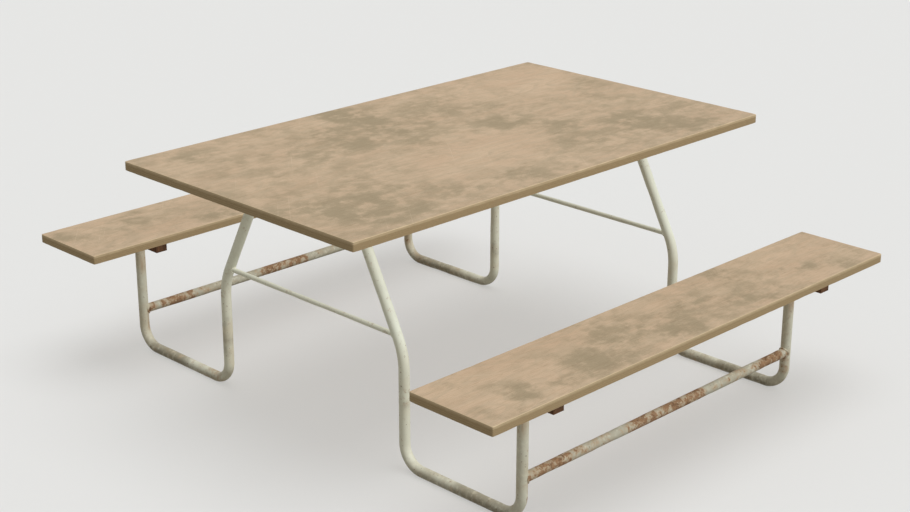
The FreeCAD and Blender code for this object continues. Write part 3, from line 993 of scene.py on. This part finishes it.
SOAKED = 1.70
STRONG = 1.30
CLEAR = 0.90
FAINT = 0.50
TRACE = 0.30
BARELY = 0.18
DRY = -0.40
TOP_STAINS = [
    (0.000, 0.000, 3.000, 2.000, BARELY),
    (-0.050, -0.150, 0.280, 0.150, DRY),
    (0.640, 0.330, 0.220, 0.180, DRY),
    (-0.085, 0.330, 0.055, 0.180, SOAKED),
    (-0.015, 0.230, 0.240, 0.180, TRACE),
    (-0.310, 0.200, 0.200, 0.140, TRACE),
    (-0.255, 0.265, 0.060, 0.060, CLEAR),
    (-0.270, 0.160, 0.050, 0.045, FAINT),
    (-0.455, 0.145, 0.045, 0.055, FAINT),
    (-0.095, 0.045, 0.050, 0.055, FAINT),
    (0.045, 0.165, 0.050, 0.030, TRACE),
    (0.345, 0.150, 0.060, 0.050, BARELY),
    (0.515, 0.330, 0.040, 0.110, TRACE),
    (0.225, 0.015, 0.085, 0.060, STRONG),
    (0.325, -0.135, 0.060, 0.070, CLEAR),
    (0.225, -0.245, 0.045, 0.055, FAINT),
    (0.275, -0.300, 0.110, 0.090, TRACE),
    (0.525, -0.265, 0.080, 0.080, STRONG),
    (0.615, -0.340, 0.050, 0.085, CLEAR),
    (0.595, -0.425, 0.055, 0.045, CLEAR),
    (0.695, -0.435, 0.045, 0.045, CLEAR),
    (0.570, -0.330, 0.180, 0.120, TRACE),
    (0.785, -0.265, 0.050, 0.040, TRACE),
    (0.785, 0.170, 0.050, 0.060, TRACE),
    (-0.745, -0.250, 0.060, 0.070, STRONG),
    (-0.755, -0.340, 0.040, 0.050, CLEAR),
    (-0.605, -0.290, 0.040, 0.075, CLEAR),
    (-0.675, -0.415, 0.045, 0.070, STRONG),
    (-0.565, -0.430, 0.045, 0.040, CLEAR),
    (-0.650, -0.330, 0.170, 0.130, TRACE),
    (-0.475, -0.255, 0.030, 0.030, FAINT),
    (-0.405, -0.340, 0.050, 0.040, FAINT),
    (-0.355, -0.405, 0.080, 0.035, FAINT),
    (-0.145, -0.405, 0.095, 0.035, FAINT),
    (0.035, -0.475, 0.040, 0.030, FAINT),
    (-0.755, -0.080, 0.030, 0.030, FAINT),
    (-0.725, 0.415, 0.040, 0.070, FAINT),
    (-0.675, 0.175, 0.040, 0.050, TRACE),
    (-0.865, -0.180, 0.040, 0.060, FAINT),
]
FRONT_SEAT_STAINS = [
    (-0.665, -0.915, 0.050, 0.035, CLEAR),
    (-0.545, -0.960, 0.050, 0.025, CLEAR),
    (-0.395, -0.915, 0.065, 0.070, STRONG),
    (-0.295, -0.835, 0.055, 0.050, FAINT),
    (-0.235, -0.790, 0.050, 0.035, FAINT),
    (-0.175, -0.865, 0.030, 0.030, FAINT),
    (-0.275, -0.955, 0.040, 0.025, FAINT),
    (-0.075, -0.935, 0.070, 0.035, CLEAR),
    (0.005, -0.865, 0.070, 0.045, FAINT),
    (0.015, -0.955, 0.030, 0.025, FAINT),
    (0.125, -0.845, 0.070, 0.035, CLEAR),
    (0.255, -0.925, 0.065, 0.050, CLEAR),
    (0.305, -0.960, 0.040, 0.025, FAINT),
    (0.375, -0.735, 0.060, 0.030, FAINT),
    (0.415, -0.945, 0.050, 0.030, TRACE),
    (0.595, -0.905, 0.060, 0.028, CLEAR),
    (0.705, -0.955, 0.050, 0.028, FAINT),
    (0.835, -0.925, 0.030, 0.055, FAINT),
    (-0.845, -0.940, 0.040, 0.035, FAINT),
    (-0.705, -0.845, 0.050, 0.035, TRACE),
    (-0.250, -0.880, 0.230, 0.100, TRACE),
    (0.100, -0.890, 0.260, 0.090, TRACE),
]
REAR_SEAT_STAINS = [
    (-0.830, 0.911, 0.050, 0.070, CLEAR),
    (-0.582, 0.918, 0.080, 0.045, CLEAR),
    (-0.380, 0.750, 0.080, 0.040, CLEAR),
    (-0.450, 0.850, 0.250, 0.090, TRACE),
    (-0.120, 0.900, 0.070, 0.060, FAINT),
    (0.120, 0.820, 0.080, 0.055, CLEAR),
    (0.300, 0.930, 0.060, 0.045, FAINT),
    (0.560, 0.800, 0.075, 0.060, STRONG),
    (0.500, 0.860, 0.220, 0.080, TRACE),
    (0.760, 0.930, 0.050, 0.035, FAINT),
]

for board, stains in (
    ("table_top", TOP_STAINS),
    ("front_seat_board", FRONT_SEAT_STAINS),
    ("rear_seat_board", REAR_SEAT_STAINS),
):
    low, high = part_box(board)
    finish = weathered_plywood(board + "_plywood", high.z, high.z - low.z, stains)
    new_piece("plywood_" + board, [board_rings(low, high)], finish, board)

# Screws
# Pan-head screws go up through each channel's web into the board above and stop short of its face.
# They are zinc plated like the bolts, and only their cross-recessed heads can be seen, from below.
for board in ("table_top", "front_seat", "rear_seat"):
    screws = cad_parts[board + "_screws"]
    screws.data.materials.clear()
    screws.data.materials.append(fastener_zinc)

# Floor, light and camera
# A plain pale floor runs back into a surround of the same tone. A broad lamp hangs over the table,
# and a lamp high at the front fills it in without a shadow. The camera stands off the near left
# corner, a little above the top.
FLOOR_REACH = 60.0
FLOOR_CORNERS = [(-1, -1), (1, -1), (1, 1), (-1, 1)]
FLOOR_COLOUR = paint(226, 227, 227)
FLOOR_BOUNCE = paint(156, 151, 141)
FLOOR_ROUGHNESS = 0.9
FLOOR_GLOSS = 0.1
BACKDROP_COLOUR = paint(231, 230, 228)
SURROUND_COLOUR = paint(152, 150, 146)
LAMP_DISTANCE = 4
LAMPS = {
    "overhead_lamp": (Vector((0.10, -0.08, 1.00)), 0.70, 50, True),
    "front_lamp": (Vector((0.30, -0.85, 1.10)), 2.05, 20, False),
}
CAMERA_PLACE = Vector((-3.6204, -3.6056, 2.2545))
CAMERA_YAW = math.radians(45.11)
CAMERA_PITCH = math.radians(20.07)
CAMERA_ROLL = math.radians(0.08)
CAMERA_LENS = 67.995
CAMERA_SENSOR = 36.0


def seen_or_mirrored(tree):
    """One where the camera, a gloss or a glass looks, and nothing where light is gathered."""
    start = Layer(tree)
    camera_ray = start.node("ShaderNodeLightPath", {}, {}, "Is Camera Ray")
    glossy_ray = start.node("ShaderNodeLightPath", {}, {}, "Is Glossy Ray")
    glass_ray = start.node("ShaderNodeLightPath", {}, {}, "Is Transmission Ray")
    return camera_ray | glossy_ray | glass_ray


floor_finish, floor_shader = new_finish("pale_floor")
floor_seen = seen_or_mirrored(floor_finish.node_tree)
connect(floor_shader, {"Base Color": floor_seen.over(FLOOR_BOUNCE, FLOOR_COLOUR)})
floor_shader["Roughness"].default_value = FLOOR_ROUGHNESS
floor_shader["Specular IOR Level"].default_value = FLOOR_GLOSS
floor_mesh = bpy.data.meshes.new("floor")
floor_points = [(x * FLOOR_REACH, y * FLOOR_REACH, 0.0) for x, y in FLOOR_CORNERS]
floor_mesh.from_pydata(floor_points, [], [(0, 1, 2, 3)])
floor_mesh.materials.append(floor_finish)
floor = bpy.data.objects.new("floor", floor_mesh)
bpy.context.scene.collection.objects.link(floor)

surround = bpy.data.worlds.new("surround")
surround.use_nodes = True
surround_seen = seen_or_mirrored(surround.node_tree)
surround_light = surround.node_tree.nodes["Background"].inputs
connect(surround_light, {"Color": surround_seen.over(SURROUND_COLOUR, BACKDROP_COLOUR)})
bpy.context.scene.world = surround

for name, (towards, strength, spread, shadow) in LAMPS.items():
    lamp_data = bpy.data.lights.new(name, "SUN")
    lamp_data.energy = strength
    lamp_data.angle = math.radians(spread)
    lamp_data.use_shadow = shadow
    lamp = bpy.data.objects.new(name, lamp_data)
    lamp.location = towards * LAMP_DISTANCE
    lamp.rotation_mode = "QUATERNION"
    lamp.rotation_quaternion = towards.to_track_quat("Z", "Y")
    bpy.context.scene.collection.objects.link(lamp)

camera_data = bpy.data.cameras.new("camera")
camera_data.lens = CAMERA_LENS
camera_data.sensor_width = CAMERA_SENSOR
camera = bpy.data.objects.new("camera", camera_data)
level = math.cos(CAMERA_PITCH)
fall = -math.sin(CAMERA_PITCH)
looking = Vector((math.sin(CAMERA_YAW) * level, math.cos(CAMERA_YAW) * level, fall))
camera.location = CAMERA_PLACE
camera.rotation_mode = "QUATERNION"
camera.rotation_quaternion = looking.to_track_quat("-Z", "Y") @ Quaternion((0, 0, 1), CAMERA_ROLL)
bpy.context.scene.collection.objects.link(camera)
bpy.context.scene.camera = camera
bpy.context.scene.view_settings.view_transform = "Standard"
